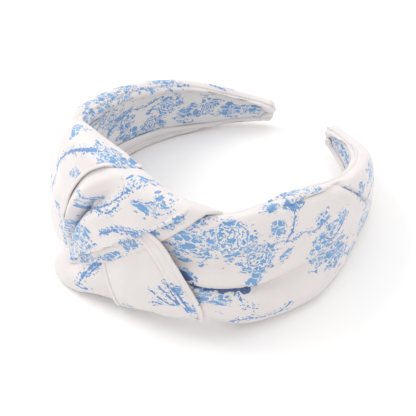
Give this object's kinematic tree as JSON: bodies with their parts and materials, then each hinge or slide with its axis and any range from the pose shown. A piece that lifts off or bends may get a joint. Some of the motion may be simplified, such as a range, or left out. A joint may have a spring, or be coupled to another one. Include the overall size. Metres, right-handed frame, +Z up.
{
  "type": "knotted headband",
  "caption": "C-shaped hair band, widest at the crown and tapering to two blunt tips, covered in printed satin with a turban knot off-centre at the crown and a lined inner face.",
  "frame": {"origin": "centre of the underside's bounding box, on the surface that the headband lies on", "axes": "+Z up from that surface; +Y from the knotted crown towards the two tips; +X to the right arm, with the knot facing -Y"},
  "size_m": [0.1372, 0.1556, 0.0576],
  "materials": {
    "printed_satin": "satin weave, off-white with a light blue floral line print",
    "lining_fabric": "matt woven lining, off-white with a dense blue floral line print",
    "band_plastic": "moulded",
    "wadding": "non-woven polyester",
    "adhesive_film": "clear film",
    "thread": "spun sewing thread"
  },
  "bodies": {
    "crown": {"band_core_crown": "band_plastic", "cover_tape_crown": "adhesive_film", "knot_filler": "printed_satin", "knot_left_puff": "printed_satin", "knot_left_turn": "printed_satin", "knot_tack_stitches": "thread", "knot_under_panel": "printed_satin", "knot_wrap": "printed_satin", "left_cover_crown": "printed_satin", "lining_crown": "lining_fabric", "lining_glue_crown": "adhesive_film", "lining_stitches_crown": "thread", "padding_crown": "wadding", "right_cover_crown": "printed_satin"},
    "left_arm": {"band_core_left_arm": "band_plastic", "cover_tape_left_arm": "adhesive_film", "left_cover_arm": "printed_satin", "left_tip_tab": "printed_satin", "lining_glue_left_arm": "adhesive_film", "lining_left_arm": "lining_fabric", "lining_stitches_left_arm": "thread", "padding_left_arm": "wadding"},
    "right_arm": {"band_core_right_arm": "band_plastic", "cover_tape_right_arm": "adhesive_film", "lining_glue_right_arm": "adhesive_film", "lining_right_arm": "lining_fabric", "lining_stitches_right_arm": "thread", "padding_right_arm": "wadding", "right_cover_arm": "printed_satin", "right_tip_tab": "printed_satin"}
  },
  "joints": [
    {"name": "left_arm_flex", "type": "hinge", "parent": "crown", "child": "left_arm", "pos_m": [-0.05639, -0.0396, 0.02586], "axis": [0.1426, 0.1841, 0.9725], "range_deg": [-2, 15], "stiffness_Nm_per_rad": 0.8},
    {"name": "right_arm_flex", "type": "hinge", "parent": "crown", "child": "right_arm", "pos_m": [0.05639, -0.0396, 0.02586], "axis": [0.1426, -0.1841, -0.9725], "range_deg": [-2, 15], "stiffness_Nm_per_rad": 0.8}
  ]
}
